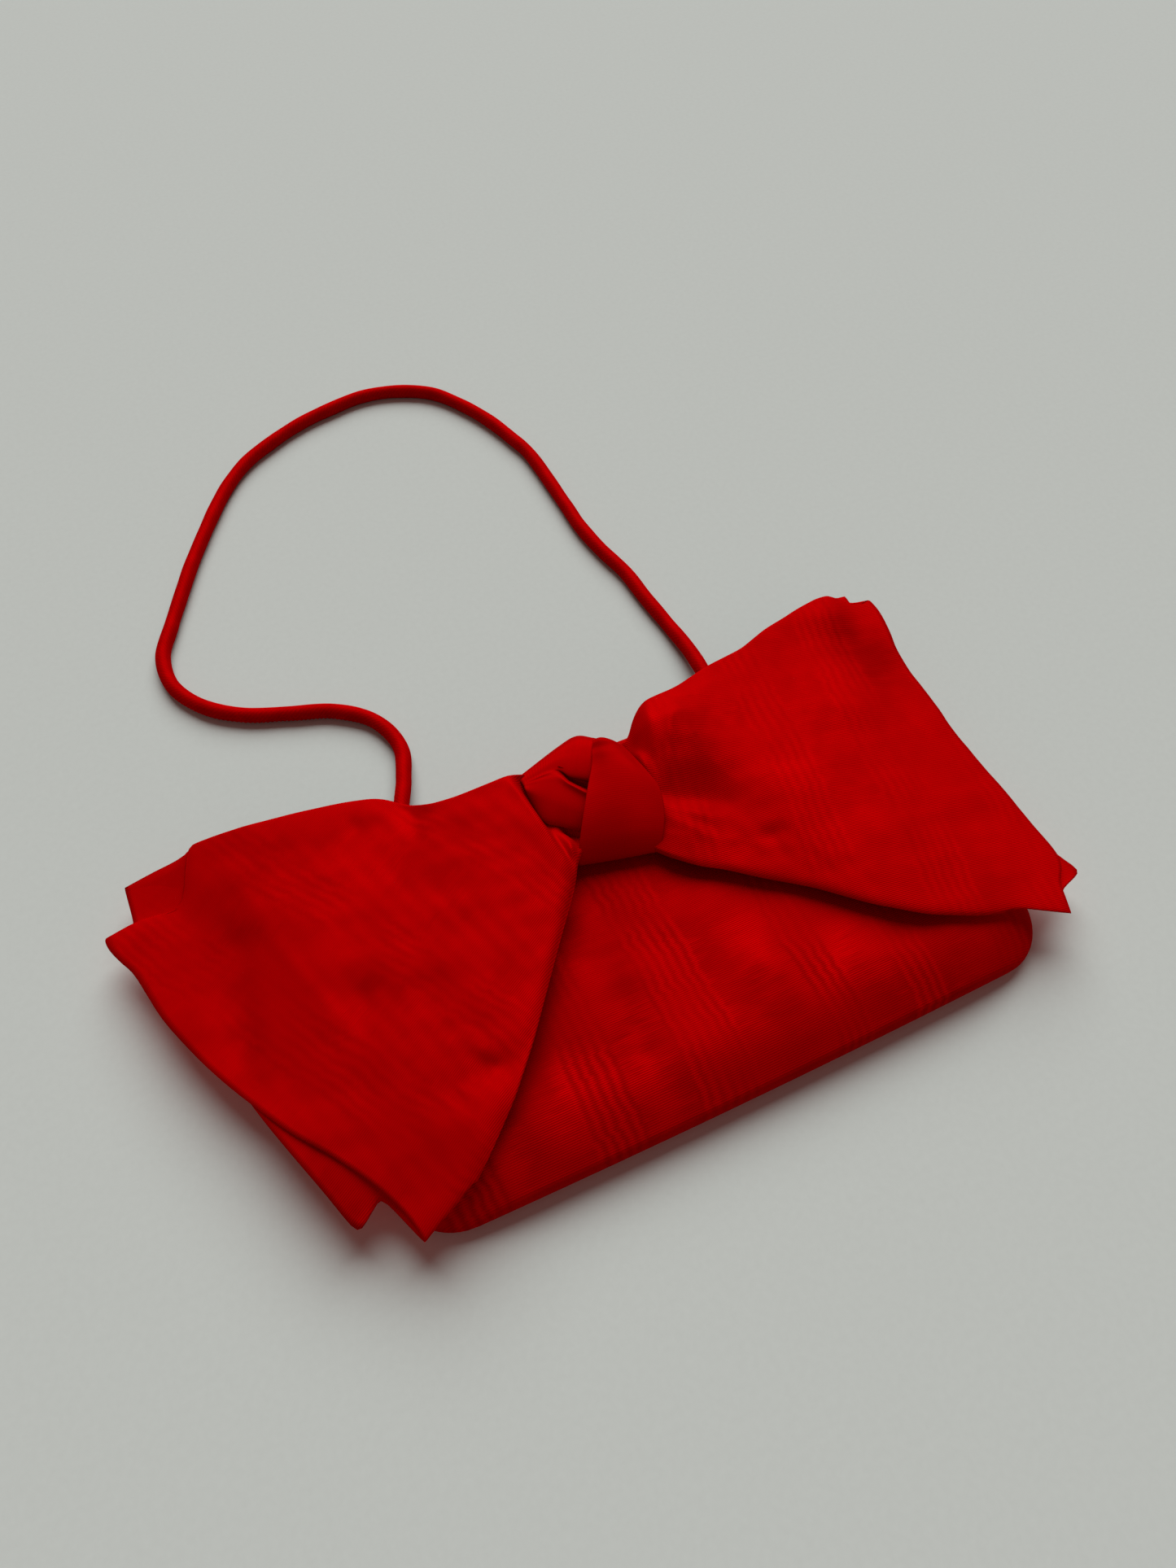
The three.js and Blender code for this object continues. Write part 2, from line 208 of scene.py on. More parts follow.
def watered_silk(name, groups, reach, depth, painted_shade_tone=1.0, rib=0.10, start=0.35, wander=2.0):
    """Red ribbed silk. groups are the middles and half widths of its groups of close lines in the watered
    finish, in metres. tone scales the whole colour, and a tone below 1 paints shade on a piece.
    """
    close_lines, far_lines, rib_spacing = 0.0036, 0.034, 0.00064
    material, tree, shader = new_material(name)
    weave = add(tree, "ShaderNodeUVMap", {}, uv_map="weave").outputs["UV"]
    spot = add(tree, "ShaderNodeSeparateXYZ", {"Vector": weave})

    def noise(scale_u, scale_v, detail, lean=0.0):
        place = add(tree, "ShaderNodeMapping", {"Vector": weave, "Scale": (scale_u, scale_v, 1)})
        inputs = {"Vector": place.outputs["Vector"], "Scale": 1.0, "Detail": detail, "Distortion": lean}
        return add(tree, "ShaderNodeTexNoise", inputs).outputs["Fac"]

    def math_node(operation, *values):
        inputs = dict(enumerate(values))
        return add(tree, "ShaderNodeMath", inputs, operation=operation).outputs["Value"]

    def span(value, low, high, to_low=0.0, to_high=1.0):
        inputs = {"Value": value, 1: low, 2: high, 3: to_low, 4: to_high}
        return add(tree, "ShaderNodeMapRange", inputs, interpolation_type="SMOOTHSTEP").outputs["Result"]

    drift = math_node("MULTIPLY_ADD", noise(9, 22, 1.0), 0.0060, -0.0030)
    place = math_node("ADD", spot.outputs["X"], drift)
    place = math_node("DIVIDE", math_node("ADD", place, reach), 2 * reach)
    ramp = add(tree, "ShaderNodeValToRGB", {"Fac": place})
    stops = ramp.color_ramp.elements
    turns, edge = 0.0, -reach
    marks = []
    for middle, half in sorted(groups):
        turns += (middle - half - edge) / far_lines
        marks.append((middle - half, turns))
        turns += 2 * half / close_lines
        marks.append((middle + half, turns))
        edge = middle + half
    turns += (reach - edge) / far_lines
    for mark, value in marks:
        stops.new((mark / reach + 1) / 2).color = (value / turns, value / turns, value / turns, 1)
    stops[0].color = (0, 0, 0, 1)
    stops[-1].color = (1, 1, 1, 1)
    phase = math_node("MULTIPLY", ramp.outputs["Color"], turns)
    phase = math_node("MULTIPLY_ADD", noise(34, 20, 2.0, 0.4), wander, phase)
    phase = math_node("MULTIPLY_ADD", noise(45, 240, 2.0), 0.75, phase)
    phase = math_node("MULTIPLY_ADD", noise(110, 1500, 1.0), 0.55, phase)
    lines = math_node("SINE", math_node("MULTIPLY_ADD", phase, 2 * math.pi, 2 * math.pi * start))
    broken = span(noise(24, 34, 2.0), 0.38, 0.62, 0.15, 1.0)
    lines = math_node("MULTIPLY", lines, broken)
    clouds = math_node("MULTIPLY_ADD", noise(30, 44, 3.0, 0.7), 2.0, -1.0)
    rib_wave = math_node("MULTIPLY", spot.outputs["Y"], 2 * math.pi / rib_spacing)
    ribs = math_node("SINE", math_node("MULTIPLY_ADD", noise(60, 200, 2.0), 1.6, rib_wave))

    shade = math_node("MULTIPLY_ADD", lines, depth, 0.5)
    shade = math_node("MULTIPLY_ADD", clouds, 0.20, shade)
    shade = math_node("MULTIPLY_ADD", ribs, rib, shade)
    # Painted shade and painted highlights from the marked places, with patches of the watered finish on the
    # pouch.
    places = add(tree, "ShaderNodeAttribute", {}, attribute_name="painted_light_and_moire").outputs["Fac"]
    feather = span(noise(22, 160, 2.0), 0.30, 0.70, 0.20, 0.40)
    shade = math_node("MULTIPLY_ADD", places, feather, shade)
    two_tone(tree, shader, shade, (0.268 * painted_shade_tone, 0.0, 0.0004), (0.536 * painted_shade_tone, 0.0, 0.0008))
    rough = math_node("MULTIPLY_ADD", shade, -0.16, 0.62)
    tree.links.new(rough, shader.inputs["Roughness"])
    relief = math_node("MULTIPLY_ADD", lines, depth, ribs)
    bump = add(tree, "ShaderNodeBump", {"Height": relief, "Strength": 3.5 * rib, "Distance": 0.00012})
    tree.links.new(bump.outputs["Normal"], shader.inputs["Normal"])

    # A faint red glow painted on low cloth that faces down stands for daylight that comes through the silk;
    # it also lights the table's shadow red.
    facing = add(tree, "ShaderNodeNewGeometry", {}).outputs["Normal"]
    facing = add(tree, "ShaderNodeSeparateXYZ", {"Vector": facing}).outputs["Z"]
    height = add(tree, "ShaderNodeTexCoord", {}).outputs["Object"]
    height = add(tree, "ShaderNodeSeparateXYZ", {"Vector": height}).outputs["Z"]
    glow = math_node("MULTIPLY", span(facing, -0.05, -0.55, 0.0, 0.28), span(height, 0.024, 0.012))
    glow = math_node("MULTIPLY", glow, span(height, 0.003, 0.012, 0.2, 1.0))
    tree.links.new(glow, shader.inputs["Emission Strength"])
    material.cycles.emission_sampling = "NONE"
    set_plain(shader, {
        "Emission Color": (1.0, 0.0, 0.002, 1), "Metallic": 0.25, "IOR": 1.06,
        "Specular IOR Level": 0.08, "Specular Tint": (1.0, 0.02, 0.01, 1),
        "Sheen Weight": 0.06, "Sheen Roughness": 0.5, "Sheen Tint": (1.0, 0.01, 0.005, 1),
    })
    return material


def sag(x, y):
    """How far the soft bottom edge hangs below the mouth's straight line."""
    less = foot_bow * ((x - pouch_middle) / foot_bow_reach) ** 2
    return foot_sag * (1 - less) * (1 - ease(y, 0, 60))


def lay_pouch(around, up):
    crowded = up**1.25  # rows lie closer together towards the bottom fold
    y = pouch_height * crowded
    angle = 2 * math.pi * around
    x = pouch_middle - half_width(y, 0) * np.cos(angle)
    front = around <= 0.5
    inner = quarter_round((half_width(y, 0) - abs(x - pouch_middle)) / 30) * ease(y, 2, 26)
    soft = 0.55 * ripple(x, y, 46, 3) + 0.24 * ripple(x, y, 17, 4)
    z_front = front_height(x, y, 0) + inner * soft
    z = np.where(front, z_front, back_height(x, y, 0))
    return np.stack([x, y - sag(x, y), z], 1), np.stack([x, np.where(front, y, -y)], 1)


pouch_bands = [
    (-0.095, 0.010), (-0.047, 0.009), (-0.009, 0.011), (0.037, 0.007), (0.067, 0.007), (0.104, 0.008),
]
# The pouch's copy of the silk is set darker than the bow's: painted shade.
pouch_silk = watered_silk(
    "red watered silk, pouch", pouch_bands, 0.15, 0.24, 0.83, start=0.75, wander=1.6,
)
pouch_mesh = cloth("pouch", 320, 110, lay_pouch)
# Paler and darker patches on the pouch: some are patches of the watered finish, some are painted shade
# beside the bow and painted light just past its shadow.
painted_light_and_moire(pouch_mesh, [
    (-48, 36, 8, 20, -0.8), (-24, 46, 9, 22, -1.0), (22, 17, 9, 16, -1.0), (60, 9, 9, 8, 0.4),
    (-31, 24, 8, 8, -0.7), (5, 69, 10, 12, 0.5), (21, 42, 8, 12, 0.9), (52, 27, 8, 9, 0.8),
    (-62, 11, 6, 8, 0.5),
])
pouch = sew_in(pouch_mesh, pouch_silk, "red_faille", "pouch_shell", thick=cloth_thick)

# The lining
# A thin plain-weave bag hung inside the pouch, its edge turned in and stitched at the mouth.
lining_inset = 2.6
lining_cloth, lining_tree, lining_shader = new_material("plain red lining")
lining_weave = add(lining_tree, "ShaderNodeUVMap", {}, uv_map="weave").outputs["UV"]
lining_place = {"Vector": lining_weave, "Scale": 2600.0, "Randomness": 0.4}
lining_grain = add(lining_tree, "ShaderNodeTexVoronoi", lining_place)
lining_tones = (0.11, 0.003, 0.004), (0.16, 0.004, 0.006)
two_tone(lining_tree, lining_shader, lining_grain.outputs["Distance"], *lining_tones)
set_plain(lining_shader, {"Roughness": 0.6, "Specular Tint": (1.0, 0.1, 0.1, 1)})


def lay_lining(around, up):
    y = lining_inset + (pouch_height - 0.6 - lining_inset) * up
    angle = 2 * math.pi * around
    x = pouch_middle - half_width(y, lining_inset) * np.cos(angle)
    front = around <= 0.5
    z = np.where(front, front_height(x, y, lining_inset), back_height(x, y, lining_inset))
    return np.stack([x, y - sag(x, y), z], 1), np.stack([x, np.where(front, y, -y)], 1)


lining_mesh = cloth("lining", 160, 50, lay_lining)
lining = sew_in(lining_mesh, lining_cloth, "lining_cloth", "pouch_lining", thick=0.0005)

# The strap
# A narrow bias tube of the same red silk, turned right side out over a soft filler. It is sewn
# inside the mouth at both ends and lies on the table in one loose loop.
strap_diameter = 6.2
strap_ends = 66.0
table_z = strap_diameter / 2
mouth_z = mouth_thick / 2
lift_z = (mouth_z + table_z) / 2
seam_turn = 1.25 * math.pi
pucker_spacing = 1.7
pucker_depth = 0.34
strap_route = [
    (-strap_ends, -14, mouth_z), (-strap_ends, 0, mouth_z), (-strap_ends, 14.5, mouth_z),
    (-59.5, 31, lift_z), (-55, 48, table_z), (-60, 64.5, table_z), (-73, 76, table_z),
    (-89.5, 82.5, table_z), (-106, 89.5, table_z), (-119.5, 100.5, table_z), (-128, 116, table_z),
    (-128, 133.5, table_z), (-120.5, 149.5, table_z), (-112.5, 165, table_z), (-104, 181, table_z),
    (-95, 196, table_z), (-85.5, 211, table_z), (-75, 225.5, table_z), (-62.5, 238, table_z),
    (-47.5, 247, table_z), (-31, 254.5, table_z), (-14, 259, table_z), (3.5, 261.5, table_z),
    (20.5, 258, table_z), (35.5, 249, table_z), (45.5, 234.5, table_z), (53, 218, table_z),
    (58, 201, table_z), (61.5, 183.5, table_z), (62, 148, table_z), (62, 130.5, table_z),
    (64, 113, table_z), (67.5, 95.5, table_z), (68.5, 78, table_z), (70, 60.5, table_z),
    (70.5, 42.5, lift_z), (69, 25.5, mouth_z), (67, 10, mouth_z), (strap_ends, 0, mouth_z),
    (strap_ends, -14, mouth_z),
]


def smooth_between(a, b, c, d, part):
    """Places at shares of the way from b to c, on a smooth line through a, b, c and d."""
    bend = (2 * a - 5 * b + 4 * c - d) * part**2 + (3 * b - a - 3 * c + d) * part**3
    return (2 * b + (c - a) * part + bend) / 2


def through(points, share):
    """Places on a smooth line through points, for shares from 0 at its start to 1 at its end."""
    points = np.asarray(points, float)
    line = np.vstack([2 * points[0] - points[1], points, 2 * points[-1] - points[-2]])
    spot = np.clip(share, 0, 1) * (len(points) - 1)
    index = np.minimum(spot.astype(int), len(points) - 2)
    return smooth_between(*(line[index + step] for step in range(4)), (spot - index)[..., None])


strap_line = through([(x, pouch_height + y, z) for x, y, z in strap_route], np.linspace(0, 1, 4000))
strap_line[:, 2] = np.maximum(strap_line[:, 2], table_z)
strap_steps = np.append(0, np.cumsum(np.linalg.norm(np.diff(strap_line, axis=0), axis=1)))
strap_length = strap_steps[-1]


def lay_strap(around, along):
    run = along * strap_length
    behind, spine, ahead = (
        np.stack([np.interp(run + step, strap_steps, column) for column in strap_line.T], 1)
        for step in (-1.5, 0, 1.5)
    )
    forward = (ahead - behind) / np.linalg.norm(ahead - behind, axis=1, keepdims=True)
    sideways = np.stack([-forward[:, 1], forward[:, 0], np.zeros(len(run))], 1)
    sideways /= np.linalg.norm(sideways, axis=1, keepdims=True)
    upward = np.cross(forward, sideways)
    angle = 2 * math.pi * around
    seam = np.exp(-((np.angle(np.exp(1j * (angle - seam_turn))) / 0.5) ** 2))
    pucker = np.sin(math.pi * run / pucker_spacing + 0.8 * np.sin(run / 9)) ** 2
    uneven = 0.05 * np.sin(run / 7.1) + 0.04 * np.sin(run / 2.9 + 1)
    radius = 0.99 * table_z + uneven - pucker_depth * seam * pucker
    ring = -sideways * np.cos(angle)[:, None] + upward * np.sin(angle)[:, None]
    points = spine + ring * radius[:, None]
    points[:, 2] = np.maximum(points[:, 2], 0.1)
    return points, np.stack([run, around * math.pi * strap_diameter], 1)


strap_silk, strap_tree, strap_shader = new_material("red bias silk, strap")
strap_weave = add(strap_tree, "ShaderNodeUVMap", {}, uv_map="weave").outputs["UV"]
strap_turn = {"Vector": strap_weave, "Rotation": (0, 0, math.radians(42))}
strap_bias = add(strap_tree, "ShaderNodeMapping", strap_turn).outputs["Vector"]
strap_ribs = add(strap_tree, "ShaderNodeTexWave", {"Vector": strap_bias, "Scale": 250.0, "Distortion": 1.0})
strap_cloud = add(strap_tree, "ShaderNodeTexNoise", {"Vector": strap_weave, "Scale": 130.0, "Detail": 4.0})
strap_tone = add(
    strap_tree, "ShaderNodeMath", {0: strap_ribs.outputs["Fac"], 1: 0.35, 2: strap_cloud.outputs["Fac"]},
    operation="MULTIPLY_ADD",
)
strap_tones = (0.23, 0.0, 0.0004), (0.38, 0.0, 0.0006)
two_tone(strap_tree, strap_shader, strap_tone.outputs["Value"], *strap_tones)
strap_bump = add(
    strap_tree, "ShaderNodeBump",
    {"Height": strap_ribs.outputs["Fac"], "Strength": 0.3, "Distance": 0.0001},
)
strap_tree.links.new(strap_bump.outputs["Normal"], strap_shader.inputs["Normal"])
set_plain(strap_shader, {
    "Roughness": 0.55, "Metallic": 0.2, "IOR": 1.06,
    "Subsurface Weight": 0.85, "Subsurface Radius": (1.0, 0.05, 0.05), "Subsurface Scale": 0.006,
    "Specular IOR Level": 0.08, "Specular Tint": (1.0, 0.02, 0.01, 1),
})
strap = sew_in(cloth("strap", 20, 1900, lay_strap), strap_silk, "red_cord", "strap_cord")

# The flap
# A short tongue of doubled silk sewn inside the back of the mouth. It folds over the mouth and
# closes on the front with one press stud, hidden under the bow.
flap_root = 112.0
flap_tip = 56.0
flap_length = 42.0
flap_wall = 1.5
flap_cloth_length = 82.0
tip_round = 7.0
stud_rise = 3.7
fold_reach = 0.62 * mouth_thick
flap_path = [
    (pouch_height + 0.3, flap_wall), (pouch_height + 0.5 * fold_reach, 1.15 * flap_wall),
    (pouch_height + fold_reach, 0.55 * mouth_thick),
    (pouch_height + 0.6 * fold_reach, 0.95 * mouth_thick),
]
for share in np.linspace(0, 1, 7):
    y = pouch_height - 2 - share * (flap_length - 2)
    over_stud = stud_rise * float(ease(share, 0.3, 0.72))
    flap_path.append((y, float(front_height(0, y, 0)) + max(over_stud, 0.3)))


def lay_flap(across, along):
    line = through(flap_path, along)
    tip = ease(along, 0.80, 1.0)
    half = flap_root / 2 + (flap_tip - flap_root) / 2 * along
    side = 2 * across - 1
    x = side * half * (1 - 0.06 * tip)
    y = line[:, 0] + tip * tip_round * (1 - np.sqrt(np.clip(1 - (0.93 * side) ** 2, 0, 1)))
    z = line[:, 1] + flap_wall
    return np.stack([x, y, z], 1), np.stack([x, along * flap_cloth_length], 1)


flap_silk = watered_silk("red watered silk, flap", [(-0.020, 0.008), (0.024, 0.007)], 0.15, 0.2)
flap = sew_in(cloth("flap_cloth", 90, 90, lay_flap), flap_silk, "red_faille", "flap", thick=0.0013)

# The press stud
# A small sprung socket and stud of nickel-plated brass, sewn to the flap and to the pouch.
stud_metal, stud_tree, stud_shader = new_material("nickel plate")
stud_place = add(stud_tree, "ShaderNodeTexCoord", {}).outputs["Object"]
stud_haze = add(stud_tree, "ShaderNodeTexNoise", {"Vector": stud_place, "Scale": 900.0, "Detail": 3.0})
stud_rough = add(stud_tree, "ShaderNodeMapRange", {"Value": stud_haze.outputs["Fac"], 3: 0.22, 4: 0.40})
stud_tree.links.new(stud_rough.outputs["Result"], stud_shader.inputs["Roughness"])
two_tone(stud_tree, stud_shader, stud_haze.outputs["Fac"], (0.50, 0.49, 0.46), (0.68, 0.67, 0.64))
stud_shader.inputs["Metallic"].default_value = 1.0
for name in ("snap_socket", "snap_stud"):
    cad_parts[name].data.materials.clear()
    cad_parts[name].data.materials.append(stud_metal)

# The bow
# One wide tube of watered silk, pressed flat with folds above and below and left open at its two
# ends. It is drawn together at the waist, so each wing rises beside the knot and fans out.
# Each wing is laid by guides. A number that comes first is a station, from 0 at the waist to 1 at the
# open end. top and bottom are the folded edges. front_top, back_bottom and the tucks slip the layers
# apart near the open end, whose edges are front_end and back_end. lip and droop bend the back layer.
# heights are the front's levels at four places up from its foot. A fold is a line, its rise along
# that line, its reach to the left and right of it, and how sharply it ends.
fold_gap = 2.6
waist_dip = 4.5
roll_run = 6.0
left_wing = {
    "top": [
        (0, 5.2, 123.2, 30), (0.11, -20, 124.5, 31), (0.19, -29.6, 125.3, 35.5), (0.24, -35, 125.4, 35),
        (0.33, -49, 127.0, 32), (0.41, -58, 128.8, 30.5), (0.45, -63, 132.2, 28.5),
        (0.49, -68.6, 138, 27), (0.54, -74.6, 142.9, 26), (0.60, -86.1, 146.3, 25.6),
        (0.69, -103, 149.6, 25.2), (0.79, -120, 152.5, 24), (0.86, -131.5, 154.8, 20.8),
        (0.90, -140.1, 155.5, 18.8), (0.95, -152.4, 156.8, 16.8), (1, -166, 157, 15),
    ],
    "bottom": [
        (0, -6, 95, 25), (0.10, -17, 92, 26.5), (0.14, -21.2, 86.8, 29), (0.19, -24.2, 81.6, 29.5),
        (0.24, -28.2, 76, 29.6), (0.33, -38.6, 63.1, 29.4), (0.44, -49.1, 49.9, 28.4),
        (0.55, -60.6, 35.2, 27.4), (0.66, -72.7, 21.7, 26.4), (0.78, -85.5, 10.2, 24.4),
        (0.89, -98, 0.4, 19.4), (1, -112.2, -5.9, 14.6),
    ],
    "front_top": [
        (0.905, 0, 0, 0), (0.930, -0.6, -22.4, -2.6), (0.97, -6.4, -19.7, -2.6), (1, -9.7, -21.9, -2),
    ],
    "top_tuck": [(0.900, 0, 0.9), (0.925, 1, -23), (0.97, 0, -21.5), (1, 0, -21)],
    "roll": 2.0,
    "lip": [(0.82, 0), (0.90, 1.5), (1, -2.8)],
    "droop": [(0, 0.2), (0.1, -3.2), (0.2, -4.2), (0.35, -3.6), (0.5, -1.2), (0.7, 0.3), (1, 0)],
    "front_end": [
        (-112.2, -5.4), (-115, 5.6), (-120.7, 17.4), (-128.3, 29.1), (-139, 43.5), (-149.6, 62.2),
        (-155.8, 74.4), (-161.4, 87.6), (-165.4, 98.9), (-167.8, 109.1), (-170.2, 118.9),
        (-173.4, 125.8), (-175.8, 132), (-176.2, 137),
    ],
    "back_bottom": [
        (0.80, 0, 0), (0.90, -7, 13), (0.95, -13.5, 19.5), (0.985, -16.5, 15.5), (1, -17.2, 11.8),
    ],
    "back_end": [
        (-129.8, 6.6), (-135.2, 22.8), (-141.3, 40), (-147.3, 59.1), (-153.3, 86.3), (-159.4, 116.6),
        (-164.6, 147), (-166, 158.6),
    ],
    "bottom_tuck": [(0.85, 0, -0.9), (0.90, -4, 14), (0.95, -9, 20), (1, -8, 21)],
    "grain": math.radians(30),
    "heights": [
        (0.00, (25, 25.5, 26.5, 28)), (0.10, (26.5, 26, 26.5, 27.5)), (0.140, (33.0, 28.5, 26.5, 27.5)),
        (0.165, (30.5, 27.8, 27, 29)), (0.190, (33.6, 36.8, 38.2, 38.2)),
        (0.30, (32.8, 35.2, 35.8, 35)), (0.45, (31, 32.6, 32.6, 31)), (0.60, (29.4, 30.2, 29.4, 27.8)),
        (0.80, (26.4, 27.2, 26.4, 25)), (0.86, (24.4, 25.8, 24.8, 23.4)),
        (0.94, (20.8, 21.6, 19.2, 18.2)), (1.00, (18.8, 19, 16.4, 15)),
    ],
    "folds": [
        (
            [(-143, 146), (-142, 124), (-136, 111), (-140, 92), (-145, 70), (-150, 50)],
            [0, -0.6, -1.1, -1.5, -1.2, 0], 6, 9, 2,
        ),
        ([(-115, 77), (-103, 72.5), (-90, 67)], [0, -2.2, 0], 7, 12, 2),
        ([(-95, 70), (-82, 63), (-70, 53)], [0, -1.2, 0], 9, 13, 2),
        ([(-18.5, 101), (-15, 96.5)], [-2.5, -5], 1.8, 1.8, 2),
        ([(-19.5, 95), (-21.5, 90), (-22.2, 86)], [0.4, 1.4, 0.4], 1.6, 1.6, 2),
        (
            [(-85, 29), (-79, 32.2), (-74, 33.2), (-70, 30.6), (-66.4, 26.8)],
            [0, -1.2, -1.9, -1.8, -1.0], 1.8, 9, 1.4,
        ),
        ([(-66, 133), (-67, 123), (-70, 114)], [-2.0, -1.4, 0], 4, 6, 2),
        ([(-84, 134), (-77, 130)], [-1.3, -1.0], 5, 5, 2),
        ([(-50, 120), (-70, 90), (-80, 70)], [0, 0.9, 0], 12, 9, 2),
    ],
}
right_wing = {
    "top": [
        (0, 5.6, 123.2, 30), (0.11, 16.5, 123, 32), (0.16, 21.2, 128.8, 35.5),
        (0.21, 27.1, 133.1, 37.5), (0.26, 33, 134, 37), (0.33, 42.9, 136.2, 34.5),
        (0.44, 59.7, 142.7, 31), (0.55, 77.3, 146.3, 29), (0.67, 91.6, 152.5, 27.2),
        (0.78, 107.8, 157, 25.4), (0.89, 122, 160, 23.5), (1, 132.7, 159.9, 22),
    ],
    "bottom": [
        (0, -6, 95, 25), (0.10, 5, 86, 23.6), (0.13, 8.6, 79.8, 24), (0.16, 12, 76.2, 24.4),
        (0.21, 18, 70.4, 24), (0.26, 24.8, 66.8, 23.2), (0.33, 34.7, 58.8, 22.6),
        (0.44, 49.9, 46.9, 22.8), (0.55, 63.2, 33.2, 23.6), (0.67, 78.7, 21.8, 22.6),
        (0.78, 95.3, 14.6, 20.6), (0.89, 109.9, 10.5, 18.6), (1, 126.4, 1.2, 16.6),
    ],
    "front_top": [(0.935, 0, 0, 0), (0.965, 3.6, -5.6, -1), (1, 8.6, -6.7, -1)],
    "top_tuck": [(0.93, 0, 0.9), (0.96, 1, -9), (1, 1, -10)],
    "roll": 0.6,
    "lip": [(0.82, 0), (0.92, 0.6), (1, 0.4)],
    "droop": [(0, 1.2), (0.25, 3), (0.5, 3.6), (0.75, 2.4), (1, 0)],
    "front_end": [
        (125.8, 0.8), (128, 7.4), (130.2, 13.1), (135.2, 19), (136.6, 26), (136, 38.8), (135.5, 54.9),
        (134.5, 73), (133.8, 84.9), (134.8, 95.3), (135.6, 112.3), (136.9, 124.5), (139.4, 133.6),
        (141.8, 145.7), (141.6, 153.4),
    ],
    "back_bottom": [(0.80, 0, 0), (0.92, 3, 4), (1, 17.2, 14.4)],
    "back_end": [(142.4, 15), (138.4, 26), (135.5, 54), (133.5, 85), (134, 120), (134.4, 161.6)],
    "bottom_tuck": [(0.85, 0, -0.9), (0.92, 1, 5), (1, 3.2, 9.8)],
    "grain": math.radians(-9),
    "heights": [
        (0.00, (25, 25.5, 26.5, 28)), (0.10, (26, 28, 29.5, 30.5)), (0.14, (27.5, 30.5, 33.4, 34.2)),
        (0.20, (28.6, 29.8, 35.4, 40)), (0.30, (26.6, 30.4, 36, 38.8)),
        (0.45, (27.4, 32.4, 33.8, 32.6)), (0.60, (27.2, 30.6, 30.6, 29.4)),
        (0.80, (23.2, 26.4, 26.8, 25.8)), (1.00, (18.2, 19.6, 21.2, 22.2)),
    ],
    "folds": [
        (
            [(17.5, 99), (21, 103), (25, 109), (29, 116), (32.5, 121.5), (36, 123), (41, 122), (46, 118)],
            [0.4, 1.4, 2.4, 2.8, 2.6, 2.0, 1.2, 0], 5, 8, 1.1,
        ),
        ([(18, 100), (24, 96.5), (30, 93), (37, 88.5), (46, 83)], [-0.6, -1.8, -2.6, -2.2, 0], 10, 5, 2),
        ([(17, 95), (26, 89.5), (36, 83)], [0.4, 0.6, 0], 3, 5, 2),
        ([(14, 121), (15.1, 115.3), (16, 109.4), (16.8, 102.7)], [0.5, 2.0, 2.0, 0.6], 2.2, 2.2, 2),
        ([(16, 94), (26, 86), (36, 80)], [0.8, 1.2, 0], 2.5, 3, 2),
        ([(15, 90), (22, 82), (29, 73)], [0.6, 1.0, 0], 2.2, 2.5, 2),
        ([(40, 69), (46, 69), (52, 68)], [0, -1.2, 0], 2.5, 6, 1.6),
        ([(104, 148), (118, 148.5), (130, 145)], [0, 2.8, 0], 12, 9, 2),
        ([(104, 138), (118, 137), (130, 134)], [0, -1.0, 0], 9, 16, 2),
        ([(60, 118), (90, 108), (118, 104)], [0, 1.0, 0], 16, 16, 2),
        ([(64, 80), (92, 74), (116, 78)], [0, -0.9, 0], 12, 12, 2),
    ],
}


def fold(x, y, line, levels, left, right, power):
    """The rise or dip that a fold along a line gives the cloth at x, y."""
    steps = np.linspace(0, 1, 40)
    points = through(line, steps)
    level = np.interp(steps, np.linspace(0, 1, len(levels)), levels)
    away = np.full(x.shape, 1e9)
    amount = np.zeros(x.shape)
    for start, end, first, last in zip(points[:-1], points[1:], level[:-1], level[1:]):
        run = end - start
        share = np.clip(((x - start[0]) * run[0] + (y - start[1]) * run[1]) / (run @ run), 0, 1)
        off_x = x - start[0] - share * run[0]
        off_y = y - start[1] - share * run[1]
        width = np.where(run[0] * off_y - run[1] * off_x > 0, left, right)
        gap = np.hypot(off_x, off_y) / width
        nearer = gap < away
        away = np.where(nearer, gap, away)
        amount = np.where(nearer, first + (last - first) * share, amount)
    return amount * np.exp(-(away**power))


def trace(knots, t, soften=5):
    """The values at stations t of rows of knots, each a station and its values, softly joined."""
    knots = np.asarray(knots, float)
    values = np.stack([np.interp(t, knots[:, 0], column) for column in knots[:, 1:].T], 1)
    weights = np.hanning(2 * soften + 3)[1:-1]
    first = 2 * values[:1] - values[soften:0:-1]
    last = 2 * values[-1:] - values[-2 : -soften - 2 : -1]
    longer = np.concatenate([first, values, last])
    return np.stack([np.convolve(column, weights / weights.sum(), "valid") for column in longer.T], 1)


def measured(points, share):
    """Places at shares of the length of a smooth line through points."""
    line = through(points, np.linspace(0, 1, 400))
    steps = np.append(0, np.cumsum(np.linalg.norm(np.diff(line, axis=0), axis=1)))
    return np.stack([np.interp(share * steps[-1], steps, column) for column in line.T], -1)


